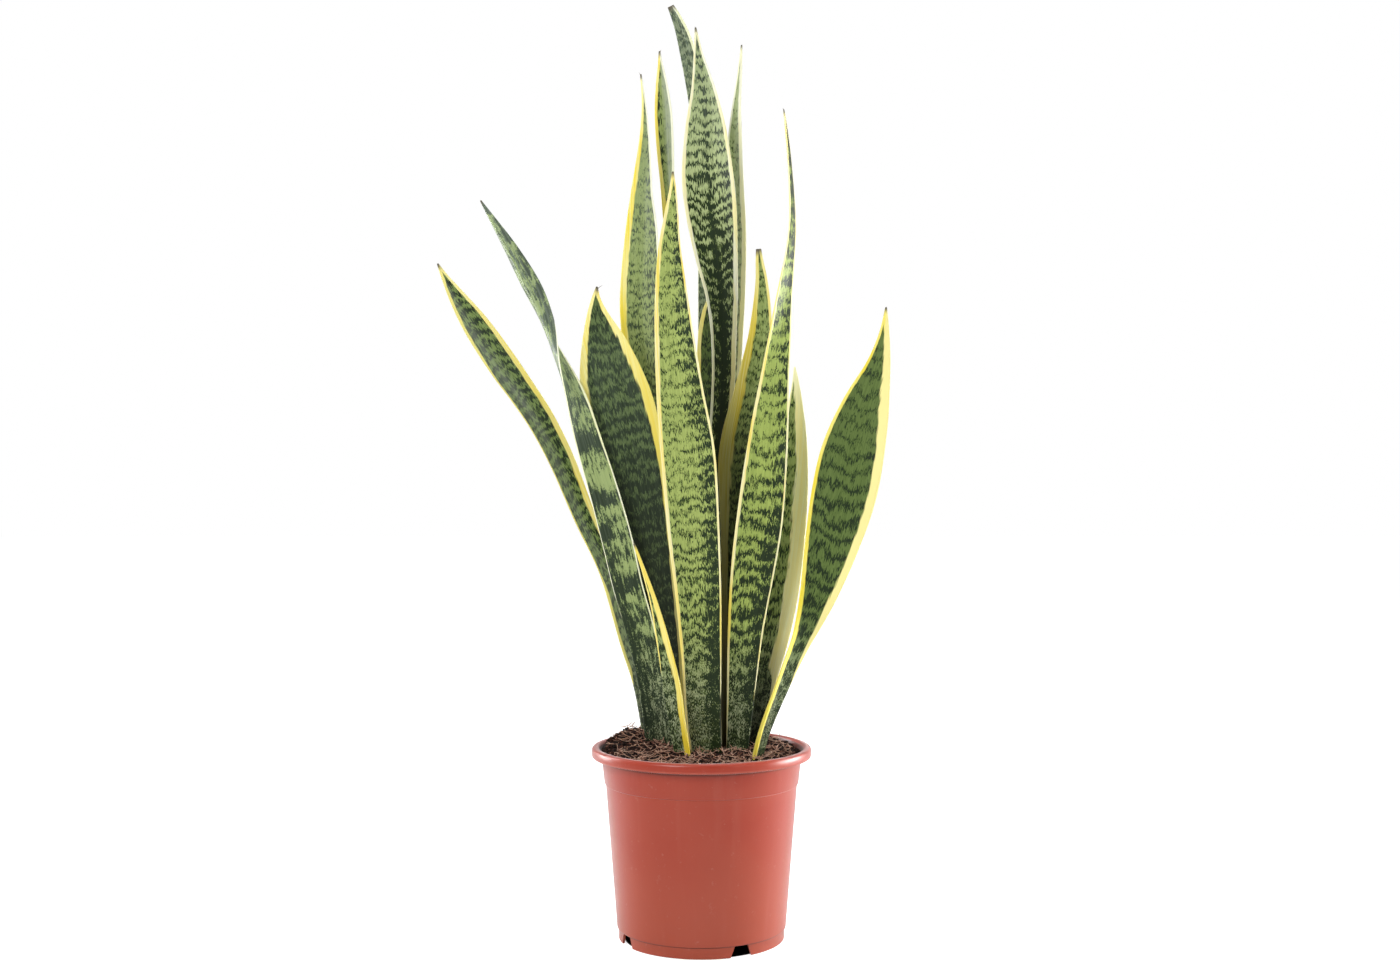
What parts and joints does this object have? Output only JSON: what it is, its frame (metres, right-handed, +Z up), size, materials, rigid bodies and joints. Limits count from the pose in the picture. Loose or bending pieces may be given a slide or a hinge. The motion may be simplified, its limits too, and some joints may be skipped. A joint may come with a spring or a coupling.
{
  "type": "potted snake plant",
  "caption": "Upright snake plant with banded, yellow-edged sword leaves, growing in dark soil in a terracotta-coloured plastic nursery pot.",
  "frame": {"origin": "on the floor, under the centre of the plant's bounding box; the pot's own axis stands 43 mm towards +X", "axes": "+Z up, the plant's height; -Y is the front"},
  "size_m": [0.4394, 0.212, 0.9316],
  "materials": {
    "pot": "semi-matte terracotta moulding",
    "soil": "coarse, dry peat and bark fibre",
    "leaf": "waxy dark and light green cross-bands with yellow margins"
  },
  "bodies": {
    "root": {"pot": "pot", "potting_soil": "soil", "leaf_far_left": "leaf", "leaf_left_twisted": "leaf", "leaf_young_front": "leaf", "leaf_broad_dark": "leaf", "leaf_centre_front": "leaf", "leaf_tall_back": "leaf", "leaf_tall_right": "leaf", "leaf_topmost": "leaf", "leaf_yellow_edged": "leaf", "leaf_tall_left": "leaf", "leaf_short_dark": "leaf", "leaf_cut_tip": "leaf", "leaf_front_right": "leaf", "leaf_pale_band": "leaf", "leaf_far_right": "leaf"}
  },
  "joints": []
}
